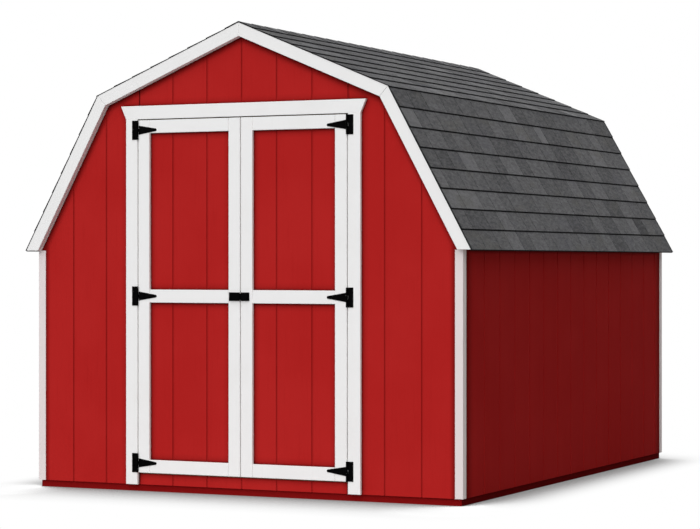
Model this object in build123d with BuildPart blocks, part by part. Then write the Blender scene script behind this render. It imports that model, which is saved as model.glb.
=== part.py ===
from build123d import *
import math
import os

os.makedirs("parts", exist_ok=True)

# Gambrel barn, in millimetres. X runs across the doors, Y from the doors to the rear, Z up.
# The origin is on the ground, at the middle of the barn.

# Overall size over the siding
barn_width = 2472
barn_length = 3048

# Roof line, which is the top of the roof boards
break_over_lintel = 39
break_beyond_door = 231.6
upper_rise = 352
lower_rise = 814
eave_overhang = 59

# Siding and its grooves
siding_thickness = 11
siding_bottom = 36
groove_spacing = 203.2
groove_width = 9.6
groove_depth = 4
side_groove_shift = -36

# Framing lumber
lumber_width = 38
lumber_depth = 89
floor_board = 12
roof_board = 12
frame_count = 6
joist_count = 9
saw_gap = 1
lintel_depth = 89
cripple_places = (-380, 0, 380)
rear_stud_places = (-610, 0, 610)
gusset_thickness = 12
gusset_reach = 200

# Doorway and its trim
opening_half = 614.4
opening_bottom = 93
opening_top = 1947
post_width = 69.5
trim_thickness = 16
header_height = 69.5
header_flare = 31
eased_edge = 1.5

# Door leaves
leaf_gap = 6
stile_width = 66.5
rail_width = 67.5
middle_rail_lift = 2.5
brace_width = 64
brace_inset = 15

# Hinges
hinge_inset = 51
hinge_metal = 2.5
barrel_radius = 5.5
pin_radius = 2.5
pin_clearance = 0.05
barrel_clearance = 1
barrel_height = 47
knuckle_height = 15
knuckle_gap = 1
plate_width = 34
plate_height = 100
strap_length = 114
strap_tip_radius = 7

# Latch
latch_height = 44
latch_widths = {"left": 62, "right": 50}
latch_plate = 3
latch_case = 11
latch_margin = 5
latch_rounding = 2

# White boards on the gables and corners
rake_width = 65
rake_thickness = 36
corner_front_width = 44
corner_side_width = 41.5
corner_proud = 2

# Shingles
shingle_butt = 6
shingle_head = 2.5
first_butt = 3.5
lower_courses = 8
upper_courses = 7
eave_drip = 1
break_drip = 8
gable_drip = 2
cap_leg = 85
cap_thickness = 3

# Places worked out from the sizes
half_width = barn_width / 2
half_length = barn_length / 2
floor_top = lumber_depth + floor_board
frame_half_width = half_width - siding_thickness
frame_half_length = half_length - siding_thickness
room_half_width = frame_half_width - lumber_depth
room_half_length = frame_half_length - lumber_depth
lintel_top = opening_top + lintel_depth
break_height = lintel_top + break_over_lintel
break_reach = opening_half + break_beyond_door
ridge_height = break_height + upper_rise
eave_height = break_height - lower_rise
eave_reach = half_width + eave_overhang
siding_reach = half_width + corner_proud - corner_front_width
side_siding_reach = half_length + corner_proud - corner_side_width
upper_slope = math.atan2(ridge_height - break_height, break_reach)
lower_slope = math.atan2(break_height - eave_height, eave_reach - break_reach)
lower_length = math.hypot(eave_reach - break_reach, break_height - eave_height)
upper_length = math.hypot(break_reach, ridge_height - break_height)
rafter_top = roof_board
rafter_bottom = roof_board + lumber_depth
shingle_half_length = half_length + rake_thickness + gable_drip
leaf_bottom = opening_bottom + leaf_gap
leaf_top = opening_top - leaf_gap
leaf_outer = opening_half - leaf_gap
leaf_inner = leaf_gap / 2
middle_rail_height = (leaf_bottom + leaf_top) / 2 + middle_rail_lift
hinge_heights = (leaf_bottom + hinge_inset, middle_rail_height, leaf_top - hinge_inset)
hinge_x = opening_half - leaf_gap / 2
trim_face = -half_length - trim_thickness
hinge_y = trim_face - barrel_radius
sides = ((-1, "left"), (1, "right"))


def roof_corners(depth):
    # Ridge, break and eave corners of the roof line set in by a depth, on the right
    ridge = (0, ridge_height - depth / math.cos(upper_slope))
    reach = depth / math.cos((lower_slope - upper_slope) / 2)
    mean = (lower_slope + upper_slope) / 2
    bend = (break_reach - reach * math.sin(mean), break_height - reach * math.cos(mean))
    eave = (eave_reach - depth / math.sin(lower_slope), eave_height)
    return ridge, bend, eave


def roof_height(x, depth):
    # Height of the roof line set in by a depth, at a distance from the middle
    ridge, bend, eave = roof_corners(depth)
    if abs(x) <= bend[0]:
        return ridge[1] - abs(x) * math.tan(upper_slope)
    return bend[1] - (abs(x) - bend[0]) * math.tan(lower_slope)


def roof_reach(z, depth):
    # Distance from the middle of the lower slope, set in by a depth, at a height
    ridge, bend, eave = roof_corners(depth)
    return bend[0] + (bend[1] - z) / math.tan(lower_slope)


def on_slope(side, foot, slope, along, out):
    # A point along a slope from its foot, and out from it
    x = foot[0] - along * math.cos(slope) + out * math.sin(slope)
    z = foot[1] + along * math.sin(slope) + out * math.cos(slope)
    return side * x, z


plate_top = roof_height(half_width, roof_board)


def write(piece, name):
    piece.label = name
    export_step(piece, f"parts/{name}.step")


def lengthwise(name, *groups, outward=0):
    # Boards with outlines in X and Z, each group of outlines run over its spans in Y.
    # Outward is -1 for boards with eased edges in front, and 1 for eased edges at the rear.
    with BuildPart() as boards:
        for outlines, spans in groups:
            for points in outlines:
                for front, back in spans:
                    with BuildSketch(Plane.XZ.offset(-back)):
                        with BuildLine():
                            Polyline(*points, close=True)
                        make_face()
                    extrude(amount=back - front)
        if outward:
            faces = boards.faces().filter_by(Axis.Y).sort_by(Axis.Y).group_by(Axis.Y)
            outer = faces[0] if outward < 0 else faces[-1]
            chamfer(outer.edges(), eased_edge)
    write(boards.part, name)


def mirrored(points, side):
    return [(side * across, up) for across, up in points]


def rectangle(low_x, high_x, low_z, high_z):
    return [(low_x, low_z), (high_x, low_z), (high_x, high_z), (low_x, high_z)]


def groove_places(half_span, shift=0):
    # Places of the grooves that lie wholly within half a span of the middle
    count = math.ceil(half_span / groove_spacing)
    places = [shift + number * groove_spacing for number in range(-count, count + 1)]
    return [place for place in places if abs(place) < half_span - groove_width]


def gable_siding(name, points, face, back):
    # Grooved siding across the barn, with its face and back in Y
    low_x = min(x for x, z in points)
    high_x = max(x for x, z in points)
    with BuildPart() as siding:
        with BuildSketch(Plane.XZ.offset(-max(face, back))):
            with BuildLine():
                Polyline(*points, close=True)
            make_face()
        extrude(amount=abs(back - face))
        for x in groove_places(siding_reach):
            if low_x < x < high_x:
                with Locations((x, face, ridge_height / 2)):
                    Box(groove_width, 2 * groove_depth, 2 * ridge_height, mode=Mode.SUBTRACT)
    write(siding.part, name)


def boxes(name, corners):
    # Boards square to the axes, each from its low corner to its high corner
    with BuildPart() as boards:
        for low, high in corners:
            size = [top - bottom for bottom, top in zip(low, high)]
            with Locations(low):
                Box(*size, align=(Align.MIN, Align.MIN, Align.MIN))
    write(boards.part, name)


# Floor: rims along both sides, joists between them, and boards that stop short of the doors
rim_inner = frame_half_width - lumber_width
boxes("floor_rims", [
    ((side * (frame_half_width - lumber_width / 2) - lumber_width / 2, -frame_half_length, 0),
     (side * (frame_half_width - lumber_width / 2) + lumber_width / 2, frame_half_length, lumber_depth))
    for side, hand in sides])
joist_reach = frame_half_length - lumber_width / 2
joist_places = [joist_reach * (2 * number / (joist_count - 1) - 1) for number in range(joist_count)]
boxes("floor_joists", [
    ((-rim_inner, y - lumber_width / 2, 0), (rim_inner, y + lumber_width / 2, lumber_depth))
    for y in joist_places])
boxes("floor_deck", [
    ((-frame_half_width, leaf_gap - frame_half_length, lumber_depth),
     (frame_half_width, frame_half_length, floor_top))])

# Plates on the floor and on top of the side walls
plate_bottom = plate_top - lumber_width
stud_foot = floor_top + lumber_width
side_spans = [(side, min(side * room_half_width, side * frame_half_width)) for side, hand in sides]
bottom_plates = [
    ((low, -frame_half_length, floor_top), (low + lumber_depth, frame_half_length, stud_foot))
    for side, low in side_spans]
bottom_plates.append(
    ((saw_gap - room_half_width, room_half_length, floor_top),
     (room_half_width - saw_gap, frame_half_length, stud_foot)))
front_plate_width = room_half_width - saw_gap - opening_half
for side, hand in sides:
    low = min(side * opening_half, side * (opening_half + front_plate_width))
    bottom_plates.append(
        ((low, -frame_half_length, floor_top), (low + front_plate_width, -room_half_length, stud_foot)))
top_plates = [
    ((low, -frame_half_length, plate_bottom), (low + lumber_depth, frame_half_length, plate_top))
    for side, low in side_spans]
boxes("wall_plates", bottom_plates + top_plates)

# Studs in the side walls stand under the rafters
frame_reach = frame_half_length - lumber_width / 2
frame_places = [frame_reach * (2 * number / (frame_count - 1) - 1) for number in range(frame_count)]
boxes("side_studs", [
    ((low, y - lumber_width / 2, stud_foot), (low + lumber_depth, y + lumber_width / 2, plate_bottom))
    for side, low in side_spans for y in frame_places])


def gable_stud(x, foot):
    # Outline of a stud in a gable, cut to the slope of the rafter over it
    low = x - lumber_width / 2
    high = x + lumber_width / 2
    top = [(high, roof_height(high, rafter_bottom)), (low, roof_height(low, rafter_bottom))]
    if low < 0 < high:
        top.insert(1, (0, roof_height(0, rafter_bottom)))
    return [(low, foot), (high, foot)] + top


# Studs and the lintel in the gables
corner_stud = room_half_width - lumber_width / 2
jamb_stud = opening_half + lumber_width / 2
front_bay = (-frame_half_length, -room_half_length)
rear_bay = (room_half_length, frame_half_length)
front_studs = [gable_stud(side * x, stud_foot) for side, hand in sides for x in (corner_stud, jamb_stud)]
front_studs += [gable_stud(x, lintel_top) for x in cripple_places]
rear_studs = [gable_stud(x, stud_foot) for x in (-corner_stud, *rear_stud_places, corner_stud)]
lengthwise("gable_studs", (front_studs, [front_bay]), (rear_studs, [rear_bay]))
lintel = rectangle(-opening_half, opening_half, opening_top, lintel_top)
lengthwise("door_lintel", ([lintel], [front_bay]))

# Rafters with mitred ends, in frames along the barn, and gussets over their joints
outer_ridge, outer_break, outer_eave = roof_corners(rafter_top)
inner_ridge, inner_break, inner_eave = roof_corners(rafter_bottom)
saw_rise = saw_gap * math.sin(upper_slope)
saw_run = saw_gap * math.cos(upper_slope)
upper_rafter = [
    (0, outer_ridge[1]),
    (0, inner_ridge[1]),
    (inner_break[0] - saw_run, inner_break[1] + saw_rise),
    (outer_break[0] - saw_run, outer_break[1] + saw_rise)]
lower_rafter = [
    outer_break,
    inner_break,
    (roof_reach(plate_top, rafter_bottom), plate_top),
    (roof_reach(plate_top, rafter_top), plate_top)]
frame_spans = [(y - lumber_width / 2, y + lumber_width / 2) for y in frame_places]
for side, hand in sides:
    outlines = [mirrored(upper_rafter, side), mirrored(lower_rafter, side)]
    lengthwise(f"rafters_{hand}", (outlines, frame_spans))

ridge_gusset_foot = roof_height(gusset_reach, rafter_bottom)
ridge_gusset = [
    (0, outer_ridge[1]),
    (gusset_reach, roof_height(gusset_reach, rafter_top)),
    (gusset_reach, ridge_gusset_foot),
    (-gusset_reach, ridge_gusset_foot),
    (-gusset_reach, roof_height(gusset_reach, rafter_top))]
break_gusset = [
    on_slope(1, outer_break, upper_slope, gusset_reach, 0),
    outer_break,
    on_slope(1, outer_break, lower_slope, -gusset_reach, 0),
    on_slope(1, outer_break, lower_slope, -gusset_reach, -lumber_depth),
    on_slope(1, outer_break, upper_slope, gusset_reach, -lumber_depth)]
gusset_spans = []
for y in frame_places[1:-1]:
    gusset_spans.append((y - lumber_width / 2 - gusset_thickness, y - lumber_width / 2))
    gusset_spans.append((y + lumber_width / 2, y + lumber_width / 2 + gusset_thickness))
gussets = [ridge_gusset, mirrored(break_gusset, -1), break_gusset]
lengthwise("rafter_gussets", (gussets, gusset_spans))

# Siding, which butts against the corner boards and runs on over them, under the roof
corner_height = roof_height(half_width, roof_board)
siding_ridge, siding_break = roof_corners(roof_board)[:2]
jamb_height = roof_height(opening_half, roof_board)
gable_edge = [
    (siding_reach, siding_bottom),
    (siding_reach, eave_height),
    (half_width, eave_height),
    (half_width, corner_height),
    siding_break]
side_of_door = [(opening_half, siding_bottom), *gable_edge, (opening_half, jamb_height)]
front_face = -half_length
for side, hand in sides:
    gable_siding(f"front_wall_{hand}", mirrored(side_of_door, side), front_face, -frame_half_length)
gable_siding("front_gable", [
    (-opening_half, opening_top),
    (opening_half, opening_top),
    (opening_half, jamb_height),
    siding_ridge,
    (-opening_half, jamb_height)], front_face, -frame_half_length)
gable_siding("door_sill", rectangle(-opening_half, opening_half, siding_bottom, opening_bottom),
             front_face, -frame_half_length)
gable_siding("rear_wall", [*gable_edge, siding_ridge, *reversed(mirrored(gable_edge, -1))],
             half_length, frame_half_length)
side_edge = [
    (side_siding_reach, siding_bottom),
    (side_siding_reach, eave_height),
    (frame_half_length, eave_height),
    (frame_half_length, plate_top)]
for side, hand in sides:
    with BuildPart() as side_wall:
        with BuildSketch(Plane.YZ.offset(side * half_width)):
            with BuildLine():
                Polyline(*side_edge, *reversed(mirrored(side_edge, -1)), close=True)
            make_face()
        extrude(amount=-side * siding_thickness)
        for y in groove_places(side_siding_reach, side_groove_shift):
            with Locations((side * half_width, y, plate_top / 2)):
                Box(2 * groove_depth, groove_width, 2 * plate_top, mode=Mode.SUBTRACT)
    write(side_wall.part, f"side_wall_{hand}")

# Roof boards, from the ridge to the break and from the break to the eave
top_ridge, top_break, top_eave = roof_corners(0)
low_ridge, low_break, low_eave = roof_corners(roof_board)
deck_span = [(-half_length, half_length)]
for side, hand in sides:
    upper_deck = mirrored([top_ridge, top_break, low_break, low_ridge], side)
    lower_deck = mirrored([top_break, top_eave, low_eave, low_break], side)
    lengthwise(f"roof_deck_{hand}_upper", ([upper_deck], deck_span))
    lengthwise(f"roof_deck_{hand}_lower", ([lower_deck], deck_span))


def course_outline(side, foot, slope, start, stop, courses, last):
    # Stepped courses of shingles up a slope, thick at each lower edge and thin at the top.
    # The first course lies flat on the boards, so its lower edge is thinner.
    exposure = (stop - start) / courses
    points = [on_slope(side, foot, slope, start, 0)]
    for number in range(courses):
        low = start + number * exposure
        points.append(on_slope(side, foot, slope, low, shingle_butt if number else first_butt))
        points.append(on_slope(side, foot, slope, low + exposure, shingle_head))
    return points + last


# Shingles, one stepped layer for each slope
bend_angle = lower_slope - upper_slope
shingle_span = [(-shingle_half_length, shingle_half_length)]
lower_stop = lower_length - shingle_head / math.tan(bend_angle)
cap_foot = upper_length - cap_leg
for side, hand in sides:
    lower_foot = (eave_reach, eave_height)
    upper_foot = (break_reach, break_height)
    lower_end = [on_slope(side, lower_foot, lower_slope, lower_length, 0)]
    lower = course_outline(side, lower_foot, lower_slope, -eave_drip, lower_stop, lower_courses, lower_end)
    lengthwise(f"shingles_{hand}_lower", ([lower], shingle_span))
    ridge_top = (0, ridge_height + shingle_head / math.cos(upper_slope))
    upper_end = [ridge_top, (0, ridge_height)]
    upper = course_outline(side, upper_foot, upper_slope, -break_drip, cap_foot, upper_courses, upper_end)
    lengthwise(f"shingles_{hand}_upper", ([upper], shingle_span))

# Ridge cap, bent over the top course on both slopes
cap_out = shingle_head + cap_thickness
cap_feet = (break_reach, break_height)
cap = [
    on_slope(1, cap_feet, upper_slope, cap_foot, shingle_head),
    on_slope(1, cap_feet, upper_slope, cap_foot, cap_out),
    (0, ridge_height + cap_out / math.cos(upper_slope)),
    on_slope(-1, cap_feet, upper_slope, cap_foot, cap_out),
    on_slope(-1, cap_feet, upper_slope, cap_foot, shingle_head),
    (0, ridge_height + shingle_head / math.cos(upper_slope))]
lengthwise("ridge_cap", ([cap], shingle_span))

# Rake boards, mitred at the break and cut plumb at the ridge and level at the eave
rake_ridge, rake_break, rake_eave = roof_corners(rake_width)
upper_rake = [
    top_ridge,
    (top_break[0] - saw_run, top_break[1] + saw_rise),
    (rake_break[0] - saw_run, rake_break[1] + saw_rise),
    rake_ridge]
lower_rake = [top_break, top_eave, rake_eave, rake_break]
rake_spans = {
    "front": (-1, [(-half_length - rake_thickness, -half_length)]),
    "rear": (1, [(half_length, half_length + rake_thickness)])}
for end, (facing, span) in rake_spans.items():
    for side, hand in sides:
        outlines = [mirrored(upper_rake, side), mirrored(lower_rake, side)]
        lengthwise(f"rake_trim_{end}_{hand}", (outlines, span), outward=facing)


def stands_proud(edge):
    # Whether an upright edge of the corner boards is out past the siding
    place = edge.center()
    return max(abs(place.X) - half_width, abs(place.Y) - half_length) > corner_proud / 2


# Corner boards, each one angled round a corner of the frame, with the siding butted against it
for facing, end in ((-1, "front"), (1, "rear")):
    with BuildPart() as corner_trim:
        for side, hand in sides:
            plan = [
                (siding_reach, frame_half_length),
                (siding_reach, half_length + corner_proud),
                (half_width + corner_proud, half_length + corner_proud),
                (half_width + corner_proud, side_siding_reach),
                (frame_half_width, side_siding_reach),
                (frame_half_width, frame_half_length)]
            with BuildSketch(Plane.XY.offset(siding_bottom)):
                with BuildLine():
                    Polyline(*[(side * x, facing * y) for x, y in plan], close=True)
                make_face()
            extrude(amount=eave_height - siding_bottom)
        uprights = corner_trim.edges().filter_by(Axis.Z)
        chamfer([edge for edge in uprights if stands_proud(edge)], eased_edge)
    write(corner_trim.part, f"corner_trim_{end}")

# Door posts and the flared header board
post_span = [(trim_face, -half_length)]
post_outer = opening_half + post_width
post = rectangle(opening_half, post_outer, siding_bottom, opening_top)
lengthwise("door_posts", ([mirrored(post, side) for side, hand in sides], post_span), outward=-1)
header_top = opening_top + header_height
header = [
    (-post_outer, opening_top),
    (post_outer, opening_top),
    (post_outer + header_flare, header_top),
    (-post_outer - header_flare, header_top)]
lengthwise("door_header", ([header], post_span), outward=-1)

# Hinge plates on the posts, each with its outer knuckles and its pin
knuckle_out = knuckle_height / 2 + knuckle_gap
plate_edge = barrel_radius + barrel_clearance
plate_middle = hinge_x + (plate_edge + plate_width) / 2
metal_middle = trim_face - hinge_metal / 2
with BuildPart() as hinge_plates:
    for side, hand in sides:
        for height in hinge_heights:
            with Locations((side * plate_middle, metal_middle, height)):
                Box(plate_width - plate_edge, hinge_metal, plate_height)
            for foot in (height - barrel_height / 2, height + knuckle_out):
                with BuildSketch(Plane.XY.offset(foot)):
                    with Locations((side * hinge_x, hinge_y)):
                        Circle(barrel_radius)
                    with Locations((side * (hinge_x + plate_edge / 2), metal_middle)):
                        Rectangle(plate_edge, hinge_metal)
                extrude(amount=barrel_height / 2 - knuckle_out)
            with BuildSketch(Plane.XY.offset(height - barrel_height / 2)):
                with Locations((side * hinge_x, hinge_y)):
                    Circle(pin_radius)
            extrude(amount=barrel_height)
write(hinge_plates.part, "hinge_plates")


def framed(inner, outer, bottom, top, upright_width, cross_width):
    # Outlines of two uprights and the three boards between them, one of these at latch height
    between = (inner + upright_width + saw_gap, outer - upright_width - saw_gap)
    feet = (bottom, middle_rail_height - cross_width / 2, top - cross_width)
    uprights = [rectangle(low, low + upright_width, bottom, top) for low in (inner, outer - upright_width)]
    return uprights + [rectangle(*between, foot, foot + cross_width) for foot in feet]


# The two door leaves: a grooved panel, white boards in front and framing behind
brace_span = [(-frame_half_length, lumber_width - frame_half_length)]
brace_outer = leaf_outer - brace_inset
brace_inner = leaf_inner + brace_inset
brace_bottom = leaf_bottom + brace_inset
brace_top = leaf_top - brace_inset
for side, hand in sides:
    panel = rectangle(leaf_inner, leaf_outer, leaf_bottom, leaf_top)
    gable_siding(f"door_panel_{hand}", mirrored(panel, side), front_face, -frame_half_length)

    trim_boards = framed(leaf_inner, leaf_outer, leaf_bottom, leaf_top, stile_width, rail_width)
    trim_outlines = [mirrored(board, side) for board in trim_boards]
    lengthwise(f"door_trim_{hand}", (trim_outlines, post_span), outward=-1)

    brace_boards = framed(brace_inner, brace_outer, brace_bottom, brace_top, brace_width, brace_width)
    brace_outlines = [mirrored(board, side) for board in brace_boards]
    lengthwise(f"door_brace_{hand}", (brace_outlines, brace_span))

    with BuildPart() as hinge_straps:
        for height in hinge_heights:
            with BuildSketch(Plane.XZ.offset(-trim_face)):
                with BuildLine():
                    Polyline(
                        (side * (hinge_x - plate_edge), height - barrel_height / 2),
                        (side * (hinge_x - plate_edge), height + barrel_height / 2),
                        (side * (hinge_x - strap_length + strap_tip_radius), height + strap_tip_radius),
                        (side * (hinge_x - strap_length + strap_tip_radius), height - strap_tip_radius),
                        close=True)
                make_face()
                with Locations((side * (hinge_x - strap_length + strap_tip_radius), height)):
                    Circle(strap_tip_radius)
            extrude(amount=hinge_metal)
            with BuildSketch(Plane.XY.offset(height - knuckle_height / 2)):
                with Locations((side * hinge_x, hinge_y)):
                    Circle(barrel_radius)
                with Locations((side * (hinge_x - plate_edge / 2), metal_middle)):
                    Rectangle(plate_edge, hinge_metal)
                with Locations((side * hinge_x, hinge_y)):
                    Circle(pin_radius + pin_clearance, mode=Mode.SUBTRACT)
            extrude(amount=knuckle_height)
    write(hinge_straps.part, f"hinge_straps_{hand}")

    with BuildPart() as latch:
        latch_middle = side * (leaf_inner + latch_widths[hand] / 2)
        case_size = (latch_widths[hand] - 2 * latch_margin, latch_height - 2 * latch_margin)
        with BuildSketch(Plane.XZ.offset(-trim_face)):
            with Locations((latch_middle, middle_rail_height)):
                Rectangle(latch_widths[hand], latch_height)
        extrude(amount=latch_plate)
        with BuildSketch(Plane.XZ.offset(-trim_face + latch_plate)):
            with Locations((latch_middle, middle_rail_height)):
                RectangleRounded(*case_size, latch_margin)
        extrude(amount=latch_case)
        fillet(latch.faces().sort_by(Axis.Y)[0].edges(), latch_rounding)
    write(latch.part, f"door_latch_{hand}")
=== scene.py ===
import math
import random

import bmesh
import bpy
from mathutils import Matrix, Vector


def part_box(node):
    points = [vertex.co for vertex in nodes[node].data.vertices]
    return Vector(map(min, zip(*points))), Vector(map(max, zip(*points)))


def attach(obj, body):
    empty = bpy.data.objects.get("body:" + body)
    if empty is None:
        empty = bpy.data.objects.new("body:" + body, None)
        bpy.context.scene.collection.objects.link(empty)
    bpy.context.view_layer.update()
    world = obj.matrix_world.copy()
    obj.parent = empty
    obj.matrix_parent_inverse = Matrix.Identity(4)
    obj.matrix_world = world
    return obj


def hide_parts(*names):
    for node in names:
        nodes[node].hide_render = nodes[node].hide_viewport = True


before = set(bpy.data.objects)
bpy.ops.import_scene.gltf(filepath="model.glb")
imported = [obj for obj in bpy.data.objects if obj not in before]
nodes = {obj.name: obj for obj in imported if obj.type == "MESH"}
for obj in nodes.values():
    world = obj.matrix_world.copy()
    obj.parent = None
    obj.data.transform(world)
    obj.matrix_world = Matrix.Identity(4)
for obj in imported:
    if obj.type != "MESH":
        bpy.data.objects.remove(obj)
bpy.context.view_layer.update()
print("frame loaded")

# The roof line, read from the roof boards
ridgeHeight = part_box("roof_deck_right_upper")[1].z
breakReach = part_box("roof_deck_right_upper")[1].x
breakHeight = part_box("roof_deck_right_lower")[1].z
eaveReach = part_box("roof_deck_right_lower")[1].x
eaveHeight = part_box("roof_deck_right_lower")[0].z
upperSlope = math.atan2(ridgeHeight - breakHeight, breakReach)
lowerSlope = math.atan2(breakHeight - eaveHeight, eaveReach - breakReach)
upperLength = math.hypot(breakReach, ridgeHeight - breakHeight)
lowerLength = math.hypot(eaveReach - breakReach, breakHeight - eaveHeight)
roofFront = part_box("shingles_right_upper")[0].y
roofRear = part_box("shingles_right_upper")[1].y
sides = ((-1, "left"), (1, "right"))


# Materials. Their noises are given as scale, detail, roughness and distortion, their ranges as the two ends
# that are read and what each gives (0 and 1 where left out), and their bumps as distance and strength.

def startMaterial(name, roughness, specular):
    material = bpy.data.materials.new(name)
    material.use_nodes = True
    tree = material.node_tree
    shader = tree.nodes["Principled BSDF"]
    shader.inputs["Roughness"].default_value = roughness
    shader.inputs["Specular IOR Level"].default_value = specular
    return material, tree, shader


def addNode(tree, kind, sockets=None, **settings):
    made = tree.nodes.new(kind)
    for name, value in settings.items():
        setattr(made, name, value)
    for name, value in (sockets or {}).items():
        if isinstance(value, bpy.types.NodeSocket):
            tree.links.new(value, made.inputs[name])
        else:
            made.inputs[name].default_value = value
    return made


def finishMaterial(tree, shader, colour, relief, bump):
    distance, strength = bump
    sockets = {"Height": relief, "Distance": distance, "Strength": strength}
    tree.links.new(addNode(tree, "ShaderNodeBump", sockets).outputs[0], shader.inputs["Normal"])
    tree.links.new(colour, shader.inputs["Base Color"])


def calculate(tree, operation, first, second=0.0, clamp=False):
    sockets = {0: first, 1: second}
    return addNode(tree, "ShaderNodeMath", sockets, operation=operation, use_clamp=clamp).outputs[0]


def stretch(tree, value, low, high, toLow=0.0, toHigh=1.0):
    sockets = {0: value, 1: low, 2: high, 3: toLow, 4: toHigh}
    return addNode(tree, "ShaderNodeMapRange", sockets, interpolation_type="SMOOTHSTEP").outputs[0]


def mixColour(tree, factor, first, second):
    sockets = {0: factor, 6: first, 7: second}
    return addNode(tree, "ShaderNodeMix", sockets, data_type="RGBA").outputs[2]


def fadeColour(tree, value, valueRange, first, second):
    # From the first colour to the second over a range of a value
    return mixColour(tree, stretch(tree, value, *valueRange), first, second)


def noise(tree, place, scale, detail=4.0, roughness=0.5, distortion=0.0):
    sockets = {"Vector": place, "Scale": scale, "Detail": detail, "Roughness": roughness,
               "Distortion": distortion}
    return addNode(tree, "ShaderNodeTexNoise", sockets).outputs["Fac"]


def objectPlace(tree):
    return addNode(tree, "ShaderNodeTexCoord").outputs["Object"]


def splitPlace(tree, place):
    return addNode(tree, "ShaderNodeSeparateXYZ", {0: place}).outputs


def squeezed(tree, place, scale, turn=(0.0, 0.0, 0.0)):
    sockets = {"Vector": place, "Scale": scale, "Rotation": turn}
    return addNode(tree, "ShaderNodeMapping", sockets).outputs[0]


boards = {
    "breakMitre": 0.03,       # the lower slope's boards start this far inside the break
    "grainStretch": 0.035,    # how much the grain is drawn out
}


def roofPlace(tree):
    # Place on a sloping board: x runs up the slope, on both sides and both slopes of the roof
    split = splitPlace(tree, objectPlace(tree))
    across = calculate(tree, "ABSOLUTE", split[0])
    folded = addNode(tree, "ShaderNodeCombineXYZ", {0: across, 1: split[1], 2: split[2]}).outputs[0]
    upper = squeezed(tree, folded, (1, 1, 1), (0, -upperSlope, 0))
    lower = squeezed(tree, folded, (1, 1, 1), (0, -lowerSlope, 0))
    outside = calculate(tree, "GREATER_THAN", across, breakReach - boards["breakMitre"])
    sockets = {0: outside, 4: upper, 5: lower}
    return addNode(tree, "ShaderNodeMix", sockets, data_type="VECTOR").outputs[1]


def boardPlace(tree, axis):
    # Place on boards that lie along an axis, and that axis; the roof's boards lie along its slopes
    return (roofPlace(tree), "x") if axis == "roof" else (objectPlace(tree), axis)


def drawnOut(tree, place, axis, share=boards["grainStretch"]):
    return squeezed(tree, place, tuple(share if name == axis else 1.0 for name in "xyz"))


bareWood = {
    "pale": (0.58, 0.40, 0.215, 1),
    "dark": (0.33, 0.185, 0.080, 1),
    "knot": (0.11, 0.050, 0.022, 1),
    "roughness": 0.78,
    "specular": 0.2,
    "bump": (0.0009, 0.8),
    "rings": (26.0, 2.0, 0.5, 1.6),
    "ringCount": 9.0,
    "lateRange": (0.35, 0.95, 0.0, 0.62),
    "fine": (260.0, 5.0, 0.6, 0.2),
    "fineRange": (0.45, 0.75, 0.0, 0.35),
    "knotStretch": 0.4,
    "knotScale": 4.2,
    "knotRange": (0.05, 0.085, 1.0, 0.0),
}


def sawnLumber(name, axis, painted=False):
    # Softwood with growth rings drawn out along the board, and a knot here and there
    specular = redPaint["specular"] if painted else bareWood["specular"]
    material, tree, shader = startMaterial(name, bareWood["roughness"], specular)
    place, axis = boardPlace(tree, axis)
    drawn = drawnOut(tree, place, axis)
    rings = noise(tree, drawn, *bareWood["rings"])
    fine = noise(tree, drawn, *bareWood["fine"])
    bands = calculate(tree, "FRACT", calculate(tree, "MULTIPLY", rings, bareWood["ringCount"]))
    colour = fadeColour(tree, bands, bareWood["lateRange"], bareWood["pale"], bareWood["dark"])
    colour = fadeColour(tree, fine, bareWood["fineRange"], colour, bareWood["dark"])
    knotPlace = drawnOut(tree, place, axis, bareWood["knotStretch"])
    cells = addNode(tree, "ShaderNodeTexVoronoi", {"Vector": knotPlace, "Scale": bareWood["knotScale"]})
    colour = fadeColour(tree, cells.outputs["Distance"], bareWood["knotRange"], colour, bareWood["knot"])
    if painted:
        # The outer faces of the floor frame are painted a darker red than the siding, their side faces
        # darker still as painted shade
        split = splitPlace(tree, objectPlace(tree))
        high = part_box("floor_rims")[1]
        across = calculate(tree, "ABSOLUTE", split[0])
        along = calculate(tree, "ABSOLUTE", split[1])
        wide = calculate(tree, "GREATER_THAN", across, high.x - redPaint["frameSkin"])
        long = calculate(tree, "GREATER_THAN", along, high.y - redPaint["frameSkin"])
        colour = mixColour(tree, wide, colour, redPaint["frameSideShade"])
        colour = mixColour(tree, long, colour, redPaint["frameColour"])
    finishMaterial(tree, shader, colour, fine, bareWood["bump"])
    return material


sheetBoard = {
    "pale": (0.60, 0.42, 0.23, 1),
    "dark": (0.36, 0.21, 0.095, 1),
    "roughness": 0.75,
    "specular": 0.2,
    "bump": (0.0006, 0.7),
    "flakeScale": 30.0,
    "flakeLength": 0.28,      # how much a flake is drawn out
    "flakeTurns": (0.3, 1.4, 2.5),
    "flakeRange": (0.35, 1.0),
    "waveScale": 14.0,
    "bend": 0.02,
    "fineDrawn": (1.0, 0.2, 1.0),
    "fine": (220.0, 4.0, 0.6),
    "fineRange": (0.4, 0.8, 0.0, 0.4),
}


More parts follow.
